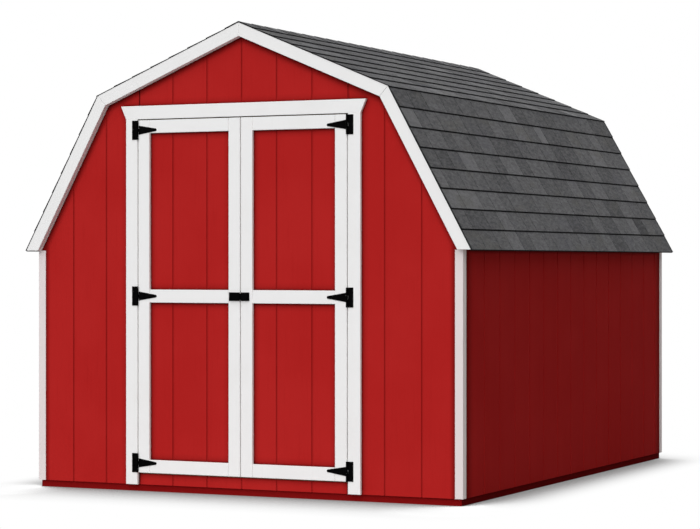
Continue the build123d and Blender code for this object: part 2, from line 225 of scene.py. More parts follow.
def flakeBoard(name, placing, upright=False):
    # Sheathing of pressed flakes: long chips lying three ways, each with its own tone
    material, tree, shader = startMaterial(name, sheetBoard["roughness"], sheetBoard["specular"])
    place = placing(tree)
    sockets = {"Vector": place, "Scale": sheetBoard["waveScale"]}
    waves = addNode(tree, "ShaderNodeTexNoise", sockets).outputs["Color"]
    bend = addNode(tree, "ShaderNodeVectorMath", {0: waves, "Scale": sheetBoard["bend"]}, operation="SCALE")
    bent = addNode(tree, "ShaderNodeVectorMath", {0: place, 1: bend.outputs[0]}, operation="ADD").outputs[0]
    tone = None
    for turn in sheetBoard["flakeTurns"]:
        turned = squeezed(tree, bent, (1, 1, 1), (0, turn, 0) if upright else (0, 0, turn))
        drawn = drawnOut(tree, turned, "x", sheetBoard["flakeLength"])
        chips = addNode(tree, "ShaderNodeTexVoronoi", {"Vector": drawn, "Scale": sheetBoard["flakeScale"]})
        layer = splitPlace(tree, chips.outputs["Color"])[0]
        tone = layer if tone is None else calculate(tree, "MAXIMUM", tone, layer)
    fine = noise(tree, squeezed(tree, place, sheetBoard["fineDrawn"]), *sheetBoard["fine"])
    colour = fadeColour(tree, tone, sheetBoard["flakeRange"], sheetBoard["dark"], sheetBoard["pale"])
    colour = fadeColour(tree, fine, sheetBoard["fineRange"], colour, bareWood["dark"])
    finishMaterial(tree, shader, colour, calculate(tree, "ADD", tone, fine), sheetBoard["bump"])
    return material


veneer = {
    "floorDrawn": (0.12, 1.0, 1.0),
    "floorFigure": (9.0, 2.0, 0.5, 2.2),
    "floorBands": 7.0,
    "floorRange": (0.3, 1.0, 0.0, 0.6),
    "backDrawn": (1.0, 1.0, 0.12),    # the bare backs of the siding
    "backFigure": (9.0, 2.0, 0.5, 1.8),
    "backBands": 6.0,
    "backRange": (0.3, 1.0, 0.0, 0.5),
    "fineDrawn": (0.05, 1.0, 1.0),
    "fine": (190.0, 5.0, 0.6),
    "fineRange": (0.45, 0.8, 0.0, 0.4),
    "sheetHalf": 0.6096,      # half of a sheet's width
    "seamRange": (0.001, 0.0025, 1.0, 0.0),
}


def veneerColour(tree, place, fine, part):
    # Long soft figure with fine dark grain, for the floor or for the back of the siding
    figure = noise(tree, squeezed(tree, place, veneer[part + "Drawn"]), *veneer[part + "Figure"])
    bands = calculate(tree, "FRACT", calculate(tree, "MULTIPLY", figure, veneer[part + "Bands"]))
    colour = fadeColour(tree, bands, veneer[part + "Range"], sheetBoard["pale"], sheetBoard["dark"])
    return fadeColour(tree, fine, veneer["fineRange"], colour, bareWood["dark"])


def plywoodFloor(name):
    # Plywood laid in sheets across the joists
    material, tree, shader = startMaterial(name, sheetBoard["roughness"], sheetBoard["specular"])
    place = objectPlace(tree)
    fine = noise(tree, squeezed(tree, place, veneer["fineDrawn"]), *veneer["fine"])
    colour = veneerColour(tree, place, fine, "floor")
    fromSeam = calculate(tree, "PINGPONG", splitPlace(tree, place)[1], veneer["sheetHalf"])
    colour = fadeColour(tree, fromSeam, veneer["seamRange"], colour, bareWood["knot"])
    finishMaterial(tree, shader, colour, fine, sheetBoard["bump"])
    return material


redPaint = {
    "colour": (0.400, 0.0142, 0.0134, 1),
    "faded": (0.422, 0.0168, 0.0158, 1),
    "rich": (0.362, 0.0115, 0.0110, 1),
    "paintedShade": (0.050, 0.0008, 0.0008, 1),
    "frameColour": (0.200, 0.0045, 0.0050, 1),    # the floor frame's front and rear faces
    # the floor frame's side faces, painted darker still as painted shade
    "frameSideShade": (0.150, 0.0020, 0.0025, 1),
    "frameSkin": 0.0006,      # how deep the floor frame's paint goes
    "roughness": 0.7,
    "specular": 0.015,
    "bump": (0.0006, 0.7),
    "grain": (95.0, 6.0, 0.62, 0.4),
    "richRange": (0.52, 0.78, 0.0, 0.5),
    "patches": (2.3, 3.0, 0.5),
    "fadedRange": (0.35, 0.68),
    "contactReach": 0.040,    # painted shade: the paint is darker close to boards that stand on it
    "contactDepth": 1.8,
    "contactSamples": 12,
    "cornerBoards": (0.044, 0.0415),    # how far the corner boards reach, across and along the barn
    "cornerReach": 0.032,
    "cornerDepth": 0.60,
    "alongShare": 0.33,       # along the side walls the painted shade beside the corner boards is this much gentler
    "eaveShade": (0.024, 0.85),    # painted shade under the eave: how far down, and how deep
    "grooveSpacing": 0.2032,
    "grooveShade": (0.002, 0.009, 0.16, 0.0),    # painted shade: the paint darkens towards the grooves of the gables
    "skin": 0.002,            # the siding is bare behind, from this far out of its back
}


def paintedShadeShare(tree, across, along, height):
    # How much shade is painted on the siding: beside boards that stand on it, beside the corner boards,
    # under the eave and beside the grooves of the gables
    # Painted shade next to boards that stand on the siding, from the occlusion by other parts only
    reach = {"Distance": redPaint["contactReach"]}
    samples = redPaint["contactSamples"]
    every = addNode(tree, "ShaderNodeAmbientOcclusion", reach, samples=samples).outputs["AO"]
    own = addNode(tree, "ShaderNodeAmbientOcclusion", reach, samples=samples, only_local=True).outputs["AO"]
    total = calculate(tree, "MULTIPLY", calculate(tree, "SUBTRACT", own, every), redPaint["contactDepth"])
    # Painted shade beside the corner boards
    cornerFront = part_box("corner_trim_front")[1].x - redPaint["cornerBoards"][0]
    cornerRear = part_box("corner_trim_rear")[1].y - redPaint["cornerBoards"][1]
    inward = calculate(tree, "SUBTRACT", cornerFront, across)
    onward = calculate(tree, "SUBTRACT", cornerRear, along)
    onward = calculate(tree, "MULTIPLY", onward, redPaint["alongShare"])
    fromCorner = calculate(tree, "MAXIMUM", inward, onward)
    corner = stretch(tree, fromCorner, 0.0, redPaint["cornerReach"], redPaint["cornerDepth"], 0.0)
    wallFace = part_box("side_wall_right")[1].x
    # Painted shade under the eave, on the side walls only
    drop, depth = redPaint["eaveShade"]
    onSide = calculate(tree, "GREATER_THAN", across, wallFace - redPaint["skin"])
    under = stretch(tree, height, eaveHeight - drop, eaveHeight, 0.0, depth)
    eave = calculate(tree, "MULTIPLY", under, onSide)
    # Painted shade beside the grooves of the gables
    fromGroove = calculate(tree, "PINGPONG", across, redPaint["grooveSpacing"] / 2)
    onGable = calculate(tree, "LESS_THAN", across, wallFace - redPaint["cornerReach"])
    groove = calculate(tree, "MULTIPLY", stretch(tree, fromGroove, *redPaint["grooveShade"]), onGable)
    for share in (corner, eave, groove):
        total = calculate(tree, "MAXIMUM", total, share, clamp=True)
    return total


def paintedSiding(name):
    # Flat paint over grooved boards: fine upright grain, soft patches of tone, painted shade, bare wood
    # behind
    material, tree, shader = startMaterial(name, redPaint["roughness"], redPaint["specular"])
    place = objectPlace(tree)
    split = splitPlace(tree, place)
    across = calculate(tree, "ABSOLUTE", split[0])
    along = calculate(tree, "ABSOLUTE", split[1])
    grain = noise(tree, drawnOut(tree, place, "z"), *redPaint["grain"])
    patches = noise(tree, place, *redPaint["patches"])
    painted = fadeColour(tree, patches, redPaint["fadedRange"], redPaint["colour"], redPaint["faded"])
    painted = fadeColour(tree, grain, redPaint["richRange"], painted, redPaint["rich"])
    paintedShade = paintedShadeShare(tree, across, along, split[2])
    # Painted shade: the paint turns towards a dark red where the siding is shaded
    painted = mixColour(tree, paintedShade, painted, redPaint["paintedShade"])
    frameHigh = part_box("floor_deck")[1]
    wide = calculate(tree, "GREATER_THAN", across, frameHigh.x + redPaint["skin"])
    long = calculate(tree, "GREATER_THAN", along, frameHigh.y + redPaint["skin"])
    outside = calculate(tree, "MAXIMUM", wide, long)
    colour = mixColour(tree, outside, veneerColour(tree, place, grain, "back"), painted)
    finishMaterial(tree, shader, colour, grain, redPaint["bump"])
    return material


whitePaint = {
    # The face, its brush marks and the narrow sides, on the flat boards and on the corner boards; the
    # narrow sides are painted lighter, as painted light, and pinker on the corner boards
    "boards": ((0.82, 0.82, 0.82, 1), (0.75, 0.745, 0.735, 1), (0.95, 0.94, 0.93, 1)),
    # the corner boards' faces are painted duller and pinker than the flat boards', as painted shade
    "corners": ((0.73, 0.66, 0.66, 1), (0.66, 0.60, 0.60, 1), (0.93, 0.82, 0.80, 1)),
    "narrowDepth": 0.0006,    # what lies this far behind the face counts as a narrow side
    "roughness": 0.55,
    "specular": 0.2,
    "bump": (0.0006, 0.7),
    "grain": (95.0, 5.0, 0.6, 0.3),
    "grainRange": (0.55, 0.8, 0.0, 0.30),
    "patches": (5.0, 3.0, 0.55),
    "patchRange": (0.45, 0.8, 0.0, 0.35),
}


def paintedTrim(name, axis, kind="boards"):
    # White paint with brush marks along the board, and painted light on its narrow sides
    material, tree, shader = startMaterial(name, whitePaint["roughness"], whitePaint["specular"])
    place, axis = boardPlace(tree, axis)
    face, brushed, narrow = whitePaint[kind]
    grain = noise(tree, drawnOut(tree, place, axis), *whitePaint["grain"])
    patches = noise(tree, place, *whitePaint["patches"])
    tone = stretch(tree, patches, *whitePaint["patchRange"])
    streaks = stretch(tree, grain, *whitePaint["grainRange"])
    painted = mixColour(tree, calculate(tree, "ADD", tone, streaks, clamp=True), face, brushed)
    split = splitPlace(tree, objectPlace(tree))
    if kind == "corners":
        reach = calculate(tree, "ABSOLUTE", split[0])
        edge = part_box("corner_trim_front")[1].x - whitePaint["narrowDepth"]
        onNarrow = calculate(tree, "GREATER_THAN", reach, edge)
    else:
        reach = calculate(tree, "ABSOLUTE", split[1])
        edge = -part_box("door_trim_right")[0].y - whitePaint["narrowDepth"]
        onNarrow = calculate(tree, "LESS_THAN", reach, edge)
    # Painted light: the narrow sides are lighter than the face, and pink on the corner boards
    painted = mixColour(tree, onNarrow, painted, narrow)
    finishMaterial(tree, shader, painted, grain, whitePaint["bump"])
    return material


blackCoat = {
    "colour": (0.0010, 0.0010, 0.0011, 1),
    "dusty": (0.0026, 0.0026, 0.0028, 1),
    "roughness": 0.5,
    "specular": 0.01,
    "bump": (0.00025, 0.9),
    "grit": (900.0, 3.0, 0.6),
    "dust": (60.0, 4.0, 0.6),
    "dustRange": (0.45, 0.75, 0.0, 0.7),
}


def powderCoat(name):
    material, tree, shader = startMaterial(name, blackCoat["roughness"], blackCoat["specular"])
    place = objectPlace(tree)
    grit = noise(tree, place, *blackCoat["grit"])
    dust = noise(tree, place, *blackCoat["dust"])
    colour = fadeColour(tree, dust, blackCoat["dustRange"], blackCoat["colour"], blackCoat["dusty"])
    finishMaterial(tree, shader, colour, grit, blackCoat["bump"])
    return material


granules = {
    "pale": (0.288, 0.288, 0.295, 1),
    "dark": (0.088, 0.088, 0.092, 1),
    "speckAndEndShade": (0.018, 0.018, 0.020, 1),
    "warm": (0.188, 0.183, 0.166, 1),
    "cool": (0.183, 0.183, 0.205, 1),
    "band": (0.0090, 0.0090, 0.0096, 1),
    "edge": (0.0050, 0.0050, 0.0055, 1),
    "roughness": 0.95,
    "specular": 0.06,
    "bump": (0.0010, 0.9),
    "drawn": (1.0, 0.42, 1.0),    # clouds of tone are drawn out along the courses
    "mottle": (60.0, 6.0, 0.82),
    "mottleRange": (0.25, 0.75, -0.38, 0.38),
    "toneRange": (-0.15, 1.15),
    "clouds": (9.0, 3.0, 0.6),
    "coolRange": (0.56, 0.70, 0.0, 0.35),
    "warmRange": (0.44, 0.32, 0.0, 0.35),
    "grit": (420.0, 3.0, 0.7),
    "speckRange": (0.56, 0.70, 0.0, 0.5),
    "bandReach": 0.35,        # the mark at which the painted shade band under a butt is at its darkest
    "endRange": (0.010, 0.020, 0.8, 0.0),    # painted shade: the dark line along both gable ends
    "cutBump": (0.0010, 0.6),
    "cutGrit": (500.0, 3.0, 0.6),
    "cutRange": (0.5, 0.8),
}


def shingleGranules(name):
    # Mineral granules on asphalt: a tone for each tab, mottling, and painted shade in dark bands under the
    # next course and along the gable ends
    material, tree, shader = startMaterial(name, granules["roughness"], granules["specular"])
    place = objectPlace(tree)
    tone = addNode(tree, "ShaderNodeAttribute", attribute_name="tone").outputs["Fac"]
    reach = addNode(tree, "ShaderNodeAttribute", attribute_name="reach").outputs["Fac"]
    drawn = squeezed(tree, place, granules["drawn"])
    mottle = stretch(tree, noise(tree, drawn, *granules["mottle"]), *granules["mottleRange"])
    clouds = noise(tree, drawn, *granules["clouds"])
    grit = noise(tree, drawn, *granules["grit"])
    shade = calculate(tree, "ADD", tone, mottle)
    colour = fadeColour(tree, shade, granules["toneRange"], granules["dark"], granules["pale"])
    colour = fadeColour(tree, clouds, granules["coolRange"], colour, granules["cool"])
    colour = fadeColour(tree, clouds, granules["warmRange"], colour, granules["warm"])
    colour = fadeColour(tree, grit, granules["speckRange"], colour, granules["speckAndEndShade"])
    # Painted shade: a dark band under the butt of the next course
    colour = fadeColour(tree, reach, (0.0, granules["bandReach"]), colour, granules["band"])
    # Painted shade: the granules darken along both gable ends
    along = calculate(tree, "ABSOLUTE", splitPlace(tree, place)[1])
    fromEnd = calculate(tree, "SUBTRACT", roofRear, along)
    colour = fadeColour(tree, fromEnd, granules["endRange"], colour, granules["speckAndEndShade"])
    finishMaterial(tree, shader, colour, grit, granules["bump"])
    return material


def shingleEdge(name):
    # Cut edges, where the black asphalt shows; so near black that they also serve as painted shade under
    # the butts
    material, tree, shader = startMaterial(name, granules["roughness"], granules["specular"])
    grit = noise(tree, objectPlace(tree), *granules["cutGrit"])
    colour = fadeColour(tree, grit, granules["cutRange"], granules["edge"], granules["speckAndEndShade"])
    finishMaterial(tree, shader, colour, grit, granules["cutBump"])
    return material


redSiding = paintedSiding("redSiding")
whiteUpright = paintedTrim("whiteTrimUpright", "z")
whiteLevel = paintedTrim("whiteTrimLevel", "x")
whiteRake = paintedTrim("whiteTrimRake", "roof")
whiteCorner = paintedTrim("whiteTrimCorner", "z", "corners")
lumberUpright = sawnLumber("lumberUpright", "z")
lumberAcross = sawnLumber("lumberAcross", "x")
lumberLong = sawnLumber("lumberLong", "y")
lumberRafter = sawnLumber("lumberRafter", "roof")
frameAcross = sawnLumber("floorFrameAcross", "x", painted=True)
frameLong = sawnLumber("floorFrameLong", "y", painted=True)
roofSheets = flakeBoard("roofSheathing", roofPlace)
gussetSheets = flakeBoard("gussetBoard", objectPlace, upright=True)
floorSheets = plywoodFloor("plywoodFloor")
blackMetal = powderCoat("blackPowderCoat")
shingleTop = shingleGranules("shingleGranules")
shingleCut = shingleEdge("shingleCutEdge")

finishes = {
    redSiding: ["front_wall_left", "front_wall_right", "front_gable", "door_sill", "rear_wall",
                "side_wall_left", "side_wall_right", "door_panel_left", "door_panel_right"],
    whiteUpright: ["door_posts", "door_trim_left", "door_trim_right"],
    whiteCorner: ["corner_trim_front", "corner_trim_rear"],
    whiteLevel: ["door_header"],
    whiteRake: ["rake_trim_front_left", "rake_trim_front_right",
                "rake_trim_rear_left", "rake_trim_rear_right"],
    lumberUpright: ["side_studs", "gable_studs", "door_brace_left", "door_brace_right"],
    lumberAcross: ["door_lintel"],
    lumberLong: ["wall_plates"],
    lumberRafter: ["rafters_left", "rafters_right"],
    frameAcross: ["floor_joists"],
    frameLong: ["floor_rims"],
    roofSheets: ["roof_deck_left_upper", "roof_deck_left_lower", "roof_deck_right_upper",
                 "roof_deck_right_lower"],
    gussetSheets: ["rafter_gussets"],
    floorSheets: ["floor_deck"],
    blackMetal: ["hinge_plates", "hinge_straps_left", "hinge_straps_right",
                 "door_latch_left", "door_latch_right"],
    shingleCut: ["shingles_left_lower", "shingles_left_upper", "shingles_right_lower",
                 "shingles_right_upper", "ridge_cap"],
}
for material, names in finishes.items():
    for name in names:
        if not nodes[name].material_slots:
            nodes[name].data.materials.append(material)
        for slot in nodes[name].material_slots:
            slot.material = material
print("materials on the CAD nodes")


# Making and placing pieces

def finishPiece(bm, name, body, materials):
    bmesh.ops.recalc_face_normals(bm, faces=bm.faces)
    mesh = bpy.data.meshes.new(name)
    bm.to_mesh(mesh)
    bm.free()
    for material in materials:
        mesh.materials.append(material)
    piece = bpy.data.objects.new(name, mesh)
    bpy.context.scene.collection.objects.link(piece)
    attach(piece, body)
    return piece


def drawOut(bm, points, run, prepare=None):
    # One face from a few points, drawn out along a run; returns the body's faces and its far points
    corners = [bm.verts.new(point) for point in points]
    if prepare:
        prepare(corners)
    made = bmesh.ops.extrude_face_region(bm, geom=[bm.faces.new(corners)])
    moved = [part for part in made["geom"] if isinstance(part, bmesh.types.BMVert)]
    bmesh.ops.translate(bm, vec=run, verts=moved)
    return {face for corner in corners + moved for face in corner.link_faces}, moved


def addBlock(bm, low, high, rounding=0.0):
    # A block from its low corner to its high corner, with rounded edges where that is asked
    size = [top - bottom for bottom, top in zip(low, high)]
    middle = [(top + bottom) / 2 for bottom, top in zip(low, high)]
    made = bmesh.ops.create_cube(bm, size=1.0, matrix=Matrix.LocRotScale(middle, None, size))
    faces = {face for corner in made["verts"] for face in corner.link_faces}
    if rounding:
        edges = {edge for corner in made["verts"] for edge in corner.link_edges}
        bmesh.ops.bevel(bm, geom=list(edges), offset=rounding, segments=2, profile=0.5, affect="EDGES",
                        material=-1)
    return faces


# Shingles

shingles = {
    "lowerCourses": 8,
    "upperCourses": 7,
    "eaveDrip": 0.001,
    "breakDrip": 0.008,
    "capLeg": 0.085,          # how far the ridge caps come down each slope
    "buttMost": 0.0060,
    "buttLeast": 0.0055,
    "firstMost": 0.0035,      # the same for the first course of a slope
    "firstLeast": 0.0031,
    "head": 0.0008,
    "baseShare": 0.55,        # how high the layer under the joints is, against the tabs
    "baseTone": 0.2,
    "easedEdge": 0.0008,
    "edgeStrip": 0.0075,      # how far the black edge strip hangs down over the eave
    "gableStrip": 0.0016,     # the black strip that closes the tabs' ends at the gables
    "gableHead": 0.0024,      # its height at the head of a course
    "lowerBand": 0.0052,      # painted shade: the dark band under each butt, up the slope
    "upperBand": 0.0100,
    "widthLeast": 0.115,
    "widthMost": 0.235,
    "joint": 0.0024,
    "wander": 0.0007,
    "toneMiddle": 0.47,
    "toneSpread": 0.10,
    "toneLeast": 0.05,
    "toneMost": 0.95,
    "paleShare": 0.14,        # how many tabs are paler than the rest, and by how much
    "paleStep": 0.26,
    "hidden": 0.0010,         # how far a tab runs on under the next course
    "seed": 11,
}


def startShingles():
    # Each face gets its tab's tone, and each point how far it lies under the next course
    bm = bmesh.new()
    return bm, {"reach": bm.verts.layers.float.new("reach"), "tone": bm.faces.layers.float.new("tone")}


def finishTab(faces, layers, tone):
    # Faces with a point that is marked below nought are cut edges, and black
    for face in faces:
        face[layers["tone"]] = tone
        face.material_index = 1 if any(corner[layers["reach"]] < 0 for corner in face.verts) else 0


def blacken(faces):
    for face in faces:
        face.material_index = 1


def slopeMatrix(side, foot, slope):
    # From up the slope, along the barn and out from the boards to the barn's own axes
    return Matrix((
        (-side * math.cos(slope), 0, side * math.sin(slope), side * foot[0]),
        (0, 1, 0, 0),
        (math.sin(slope), 0, math.cos(slope), foot[1]),
        (0, 0, 0, 1)))


def addTab(bm, layers, low, exposure, near, far, butt, head, band, tone):
    # A tapered tab, thick at its lower edge
    eased = shingles["easedEdge"]
    top = low + exposure + shingles["hidden"]
    fall = (butt - head) / exposure
    profile = [
        (low, 0.0, -1.0),
        (low, butt - eased, 0.0),
        (low + eased, butt, 0.0),
        (top - 2 * band, head + 2 * band * fall, 0.0),
        (top - band, head + band * fall, granules["bandReach"]),
        (top, head, 1.0),
        (top, 0.0, -1.0)]

    def mark(corners):
        for corner, (along, out, reach) in zip(corners, profile):
            corner[layers["reach"]] = reach

    points = [(along, near, out) for along, out, reach in profile]
    faces = drawOut(bm, points, (0, far - near, 0), mark)[0]
    finishTab(faces, layers, tone)


def closeEnds(bm, low, exposure, butt):
    # Black strips over the ends of a course, at both gables
    high = low + exposure
    width = shingles["gableStrip"]
    for end in (roofFront, roofRear - width):
        points = [(low, end, 0), (low, end, butt), (high, end, shingles["gableHead"]), (high, end, 0)]
        blacken(drawOut(bm, points, (0, width, 0))[0])


def tabTone(chance):
    tone = chance.gauss(shingles["toneMiddle"], shingles["toneSpread"])
    if chance.random() < shingles["paleShare"]:
        tone += shingles["paleStep"]
    return min(max(tone, shingles["toneLeast"]), shingles["toneMost"])


def layCourses(name, side, foot, slope, start, stop, courses, band, chance):
    bm, layers = startShingles()
    exposure = (stop - start) / courses
    base = shingles["baseShare"]
    head = shingles["head"]
    if slope == lowerSlope:
        blacken(addBlock(bm, (start, roofFront, -shingles["edgeStrip"]), (0, roofRear, 0)))
    for number in range(courses):
        low = start + number * exposure
        least, most = ("buttLeast", "buttMost") if number else ("firstLeast", "firstMost")
        addTab(bm, layers, low, exposure, roofFront, roofRear,
               base * shingles[least], base * head, band, shingles["baseTone"])
        closeEnds(bm, low, exposure, shingles[least])
        near = roofFront
        while near < roofRear:
            far = near + chance.uniform(shingles["widthLeast"], shingles["widthMost"])
            if roofRear - far < shingles["widthLeast"]:
                far = roofRear
            butt = chance.uniform(shingles[least], shingles[most])
            wander = chance.uniform(0, shingles["wander"])
            tone = tabTone(chance)
            end = far if far == roofRear else far - shingles["joint"]
            addTab(bm, layers, low + wander, exposure - wander, near, end, butt, head, band, tone)
            near = far
    bmesh.ops.transform(bm, matrix=slopeMatrix(side, foot, slope), verts=bm.verts)
    piece = finishPiece(bm, name, "barn", [shingleTop, shingleCut])
    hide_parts(name.replace("Tabs", ""))


chance = random.Random(shingles["seed"])
bend = lowerSlope - upperSlope
lowerStop = lowerLength - shingles["head"] / math.tan(bend) - shingles["hidden"]
capFoot = upperLength - shingles["capLeg"]
for side, hand in sides:
    layCourses(f"shingles_{hand}_lowerTabs", side, (eaveReach, eaveHeight), lowerSlope,
               -shingles["eaveDrip"], lowerStop, shingles["lowerCourses"], shingles["lowerBand"], chance)
    layCourses(f"shingles_{hand}_upperTabs", side, (breakReach, breakHeight), upperSlope,
               -shingles["breakDrip"], capFoot, shingles["upperCourses"], shingles["upperBand"], chance)
print("shingles laid")

ridgeCaps = {
    "count": 22,
    "base": 0.0002,
    "thick": 0.0055,
    "thin": 0.0038,
    "lap": 0.004,
    "seed": 5,
}


def capSection(out, base):
    # A cap's outline from foot to foot over the ridge, and back under it
    def onSlope(side, height):
        x = breakReach - capFoot * math.cos(upperSlope) + height * math.sin(upperSlope)
        return side * x, breakHeight + capFoot * math.sin(upperSlope) + height * math.cos(upperSlope)

    top = ridgeHeight + out / math.cos(upperSlope)
    bottom = ridgeHeight + base / math.cos(upperSlope)
    return [onSlope(1, base), onSlope(1, out), (0, top), onSlope(-1, out), onSlope(-1, base), (0, bottom)]


def buildRidgeCaps():
    # Short shingles bent over the ridge, each lapped by the next one towards the doors
    bm, layers = startShingles()
    chance = random.Random(ridgeCaps["seed"])
    spacing = (roofRear - roofFront) / ridgeCaps["count"]
    thick = capSection(ridgeCaps["thick"], ridgeCaps["base"])
    thin = capSection(ridgeCaps["thin"], ridgeCaps["base"])
    underside = (0, 4, 5)

    def mark(corners):
        for index, corner in enumerate(corners):
            corner[layers["reach"]] = -1.0 if index in underside else 0.0

    for number in range(ridgeCaps["count"]):
        near = roofFront + number * spacing
        far = min(near + spacing + ridgeCaps["lap"], roofRear)
        faces, moved = drawOut(bm, [(x, near, z) for x, z in thick], (0, far - near, 0), mark)
        for corner in moved:
            nearest = min(range(len(thick)), key=lambda index: abs(thick[index][0] - corner.co.x)
                          + abs(thick[index][1] - corner.co.z))
            corner.co.x, corner.co.z = thin[nearest]
        finishTab(faces, layers, tabTone(chance))
    piece = finishPiece(bm, "ridgeCaps", "barn", [shingleTop, shingleCut])
    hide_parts("ridge_cap")


buildRidgeCaps()
print("ridge capped")


# Door stops, the white strips behind the edges of the closed leaves

doorStops = {
    "width": 0.012,
    "depth": 0.038,
    "fromPanel": 0.006,
    "easedEdge": 0.0015,
}


def buildDoorStops():
    bm = bmesh.new()
    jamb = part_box("door_lintel")[1].x
    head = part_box("door_lintel")[0].z
    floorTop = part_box("floor_deck")[1].z
    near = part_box("door_panel_right")[1].y + doorStops["fromPanel"]
    far = near + doorStops["depth"]
    for side, hand in sides:
        low, high = sorted((side * (jamb - doorStops["width"]), side * jamb))
        addBlock(bm, (low, near, floorTop), (high, far, head), doorStops["easedEdge"])
    finishPiece(bm, "doorStops", "barn", [whiteUpright])


buildDoorStops()


# Hardware: the hinges' outer knuckles, screw heads and the tongue between the halves of the latch

hardware = {
    "hingeReach": 0.050,        # half of a hinge plate's height
    "barrelReach": 0.0235,      # half of the height of the jointed barrel
    "axisInset": 0.0055,        # from the straps' outer ends and from the trim's face to the hinge's axis
    "knuckleRadius": 0.0050,
    "knuckleSides": 20,
    "leafReach": (0.003, 0.0075),    # the leaf that joins a knuckle to its plate, out from the axis
    "metal": 0.0025,
    "rounding": 0.0006,
    "screwRadius": 0.0036,
    "screwRise": 0.0016,
    "screwSides": 12,
    "screwTop": 0.7,            # the head's flat top and its socket's rim, as shares of its radius
    "socketRim": 0.35,
    "socketDepth": 0.6,         # a share of its rise
    "plateColumn": 0.021,       # from the hinge's axis
    "plateRows": (-0.040, -0.016, 0.016, 0.040),
    "strapRow": (0.018, 0.052, 0.092),
    "tongueReach": 0.0022,      # past the middle of the doors
    "tongueRoot": 0.004,        # inside its half of the latch
    "tongueSetBack": 0.0006,
    "tongueMargin": 0.006,      # above and below it
}
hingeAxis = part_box("hinge_straps_right")[1].x - hardware["axisInset"]
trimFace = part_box("door_trim_right")[0].y
metalFace = trimFace - hardware["metal"]
hingeLine = trimFace - hardware["axisInset"]
plateLow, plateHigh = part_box("hinge_plates")
strapMiddle = sum(corner.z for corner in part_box("door_latch_right")) / 2
hingeHeights = (plateLow.z + hardware["hingeReach"], strapMiddle, plateHigh.z - hardware["hingeReach"])


def addScrew(bm, x, y, z):
    # A low round head with a socket, facing the front
    radius = hardware["screwRadius"]
    rise = hardware["screwRise"]
    turn = Matrix.Translation((x, y - rise / 2, z)) @ Matrix.Rotation(math.radians(90), 4, "X")
    made = bmesh.ops.create_cone(bm, cap_ends=True, segments=hardware["screwSides"], radius1=radius,
                                 radius2=hardware["screwTop"] * radius, depth=rise, matrix=turn)
    front = min({face for corner in made["verts"] for face in corner.link_faces},
                key=lambda face: face.calc_center_median().y)
    bmesh.ops.inset_region(bm, faces=[front], thickness=hardware["socketRim"] * radius, depth=0.0)
    bmesh.ops.translate(bm, vec=(0, hardware["socketDepth"] * rise, 0), verts=front.verts)


def addKnuckle(bm, side, middle, span):
    # One outer knuckle with eased rims, and the leaf that joins it to its plate
    radius = hardware["knuckleRadius"]
    axis = side * hingeAxis
    made = bmesh.ops.create_cone(bm, cap_ends=True, segments=hardware["knuckleSides"], radius1=radius,
                                 radius2=radius, depth=span,
                                 matrix=Matrix.Translation((axis, hingeLine, middle)))
    rims = [edge for edge in {edge for corner in made["verts"] for edge in corner.link_edges}
            if abs(edge.verts[0].co.z - edge.verts[1].co.z) < span / 2]
    bmesh.ops.bevel(bm, geom=rims, offset=hardware["rounding"], segments=2, profile=0.5, affect="EDGES",
                    material=-1)
    low, high = sorted(axis + side * reach for reach in hardware["leafReach"])
    addBlock(bm, (low, metalFace, middle - span / 2), (high, trimFace, middle + span / 2))


def buildHinges():
    knuckles = bmesh.new()
    plateScrews = bmesh.new()
    span = hardware["hingeReach"] - hardware["barrelReach"]
    offset = (hardware["hingeReach"] + hardware["barrelReach"]) / 2
    for side, hand in sides:
        axis = side * hingeAxis
        strapScrews = bmesh.new()
        for height in hingeHeights:
            for end in (-1, 1):
                addKnuckle(knuckles, side, height + end * offset, span)
            for row in hardware["plateRows"]:
                addScrew(plateScrews, axis + side * hardware["plateColumn"], metalFace, height + row)
            for along in hardware["strapRow"]:
                addScrew(strapScrews, axis - side * along, metalFace, height)
        finishPiece(strapScrews, f"strapScrews_{hand}", f"{hand}_door", [blackMetal])
    finishPiece(knuckles, "hingeKnuckles", "barn", [blackMetal])
    finishPiece(plateScrews, "plateScrews", "barn", [blackMetal])


def buildTongue():
    bm = bmesh.new()
    latchLow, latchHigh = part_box("door_latch_left")
    margin = hardware["tongueMargin"]
    root = latchHigh.x - hardware["tongueRoot"]
    front = latchLow.y + hardware["tongueSetBack"]
    addBlock(bm, (root, front, latchLow.z + margin),
             (hardware["tongueReach"], trimFace, latchHigh.z - margin), hardware["rounding"])
    finishPiece(bm, "latchTongue", "left_door", [blackMetal])


buildHinges()
buildTongue()
print("stops and hardware added")


# Stage, light and camera

stage = {
    "floorSize": 60.0,
    "bounce": 0.50,
    "shadowTone": 0.20,
    "shadowReach": 0.70,
    "shadowDepth": 0.83,
    "shelterGain": 2.0,
    "shelterSamples": 8,
    "cutoff": 0.12,           # shelter below this share leaves no shadow
    "taper": 1.9,             # how steeply the cutoff rises towards the front corners
    "corner": (1.25, -1.53),
    "cornerFade": (0.62, 0.85),    # how far it stays raised, across and along the barn
    "leftFade": (0.40, 0.30),      # the same at the left corner, outside and behind it
    "sideFade": (1.28, 1.62),
    "rearFade": (1.25, 2.05),
    "ambient": 0.07,
    "sunStrength": 3.12,
    "sunFrom": (-0.04, -0.77, 0.63),
    "sunSpread": 82.0,
}


def seenDirectly(tree):
    # One for rays that show what they meet, nought for rays that only light it
    path = addNode(tree, "ShaderNodeLightPath").outputs
    seen = calculate(tree, "MAXIMUM", path["Is Camera Ray"], path["Is Glossy Ray"])
    return calculate(tree, "MAXIMUM", seen, path["Is Transmission Ray"])


def inFades(tree, distance, fade, leftFade, onLeft):
    # A distance counted in fades, which are shorter on the left
    steeper = calculate(tree, "MULTIPLY", onLeft, 1 / leftFade - 1 / fade)
    return calculate(tree, "MULTIPLY", distance, calculate(tree, "ADD", steeper, 1 / fade))


